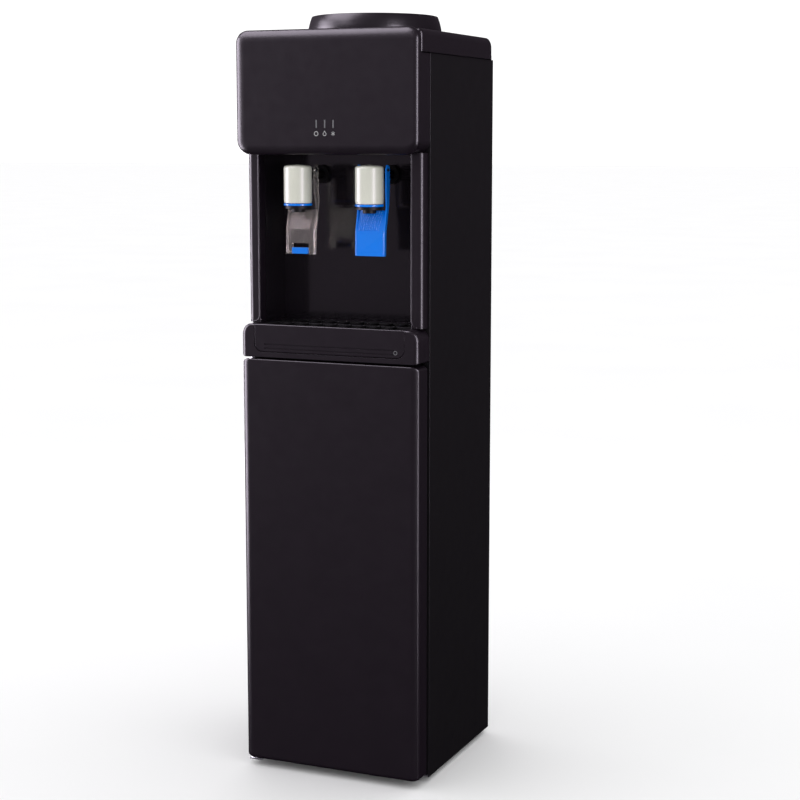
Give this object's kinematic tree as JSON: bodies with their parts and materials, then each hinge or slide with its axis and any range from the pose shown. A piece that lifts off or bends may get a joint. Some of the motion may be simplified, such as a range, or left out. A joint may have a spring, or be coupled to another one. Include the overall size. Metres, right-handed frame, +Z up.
{
  "type": "water dispenser",
  "caption": "Floor-standing bottled-water dispenser with hot and cold push-lever taps over a drip tray, a hinged storage cabinet below and a bottle collar on top.",
  "frame": {"origin": "centre of the whole object's footprint box, on the floor under the feet", "axes": "+Z up, -Y out of the front with the taps and the door, +X to the right as seen from the front"},
  "size_m": [0.274, 0.302, 1.061],
  "materials": {
    "shell_black": "near-black aubergine ABS, satin gloss with soft broad highlights",
    "side_steel": "near-black powder-coated steel sheet, low gloss with a fine orange-peel",
    "liner_grey": "dark grey vacuum-formed polystyrene, fine matt grain",
    "recess_gloss": "black high-gloss plastic that mirrors the taps faintly",
    "inner_black": "black moulded plastic, fine spark-eroded texture",
    "ivory_plastic": "ivory moulded plastic, soft gloss",
    "blue_plastic": "bright blue moulded plastic, glossy",
    "clear_plastic": "clear moulded acrylic with fine ribs",
    "tank_steel": "drawn stainless steel, lightly brushed",
    "plain_steel": "bright zinc-plated steel",
    "zinc_sheet": "galvanised sheet with a faint spangle",
    "black_steel": "black stove enamel, semi-gloss",
    "copper_tube": "drawn copper tube, dull",
    "foam_block": "cream rigid foam with fine open cells",
    "rubber_black": "black rubber, matt",
    "silicone_tube": "translucent white silicone hose, satin",
    "circuit_board": "green solder-resist board"
  },
  "bodies": {
    "cabinet": {"front_frame": "shell_black", "fascia_panel": "shell_black", "top_cover": "shell_black", "tray_housing": "shell_black", "side_panel_left": "side_steel", "side_panel_right": "side_steel", "rear_panel": "side_steel", "rear_grille": "side_steel", "cabinet_liner": "liner_grey", "recess_liner": "recess_gloss", "hot_tap_body": "inner_black", "cold_tap_body": "inner_black", "magnetic_catch": "inner_black", "drain_spout": "inner_black", "switch_plate": "inner_black", "hot_tap_sleeve": "ivory_plastic", "cold_tap_sleeve": "ivory_plastic", "reservoir_lid": "ivory_plastic", "hot_tap_ring": "blue_plastic", "cold_tap_ring": "blue_plastic", "light_guide": "clear_plastic", "cold_tank": "tank_steel", "hot_tank": "tank_steel", "lower_hinge_pin": "plain_steel", "upper_hinge_pin": "plain_steel", "base_pan": "zinc_sheet", "tank_support": "zinc_sheet", "heater_band": "zinc_sheet", "tank_bracket": "zinc_sheet", "compressor": "black_steel", "condenser_coil": "black_steel", "condenser_frame": "black_steel", "evaporator_coil": "copper_tube", "tank_insulation": "foam_block", "foot_front_left": "rubber_black", "foot_front_right": "rubber_black", "foot_rear_left": "rubber_black", "foot_rear_right": "rubber_black", "compressor_mount_front_left": "rubber_black", "compressor_mount_front_right": "rubber_black", "compressor_mount_rear_left": "rubber_black", "compressor_mount_rear_right": "rubber_black", "cord_gland": "rubber_black", "hot_water_tube": "silicone_tube", "cold_water_tube": "silicone_tube", "drain_tube": "silicone_tube", "indicator_board": "circuit_board"},
    "door": {"door_panel": "shell_black", "door_liner": "liner_grey", "strike_plate": "plain_steel"},
    "drip_tray": {"drip_tray": "shell_black"},
    "drip_grille": {"drip_grille": "inner_black"},
    "hot_lever": {"hot_lever": "clear_plastic"},
    "hot_safety_button": {"hot_safety_button": "blue_plastic"},
    "cold_lever": {"cold_lever": "blue_plastic"},
    "bottle_guard": {"bottle_collar": "shell_black", "bottle_probe": "ivory_plastic"},
    "hot_switch": {"hot_switch": "inner_black"},
    "cold_switch": {"cold_switch": "inner_black"},
    "drain_cap": {"drain_cap": "inner_black"}
  },
  "joints": [
    {"name": "door_hinge", "type": "hinge", "parent": "cabinet", "child": "door", "pos_m": [-0.122, -0.131, 0.3], "axis": [0, 0, -1], "range_deg": [0, 110]},
    {"name": "drip_tray_slide", "type": "slide", "parent": "cabinet", "child": "drip_tray", "axis": [0, -1, 0], "range_m": [0, 0.1]},
    {"name": "drip_grille_lift", "type": "slide", "parent": "drip_tray", "child": "drip_grille", "axis": [0, 0, 1], "range_m": [0, 0.03]},
    {"name": "hot_lever_hinge", "type": "hinge", "parent": "cabinet", "child": "hot_lever", "pos_m": [-0.0535, -0.112, 0.85], "axis": [1, 0, 0], "range_deg": [0, 12], "stiffness_Nm_per_rad": 0.5, "springref_deg": -5.73},
    {"name": "hot_safety_slide", "type": "slide", "parent": "hot_lever", "child": "hot_safety_button", "axis": [0, 0, 1], "range_m": [0, 0.005], "stiffness_N_per_m": 150, "springref_m": -0.004},
    {"name": "cold_lever_hinge", "type": "hinge", "parent": "cabinet", "child": "cold_lever", "pos_m": [0.0535, -0.112, 0.85], "axis": [1, 0, 0], "range_deg": [0, 12], "stiffness_Nm_per_rad": 0.5, "springref_deg": -5.73},
    {"name": "bottle_guard_lift", "type": "slide", "parent": "cabinet", "child": "bottle_guard", "axis": [0, 0, 1], "range_m": [0, 0.1]},
    {"name": "hot_switch_rocker", "type": "hinge", "parent": "cabinet", "child": "hot_switch", "pos_m": [0.086, 0.129, 0.902], "axis": [-1, 0, 0], "range_deg": [0, 16]},
    {"name": "cold_switch_rocker", "type": "hinge", "parent": "cabinet", "child": "cold_switch", "pos_m": [0.054, 0.129, 0.902], "axis": [-1, 0, 0], "range_deg": [0, 16]},
    {"name": "drain_cap_pull", "type": "slide", "parent": "cabinet", "child": "drain_cap", "axis": [0, 1, 0], "range_m": [0, 0.03]}
  ]
}
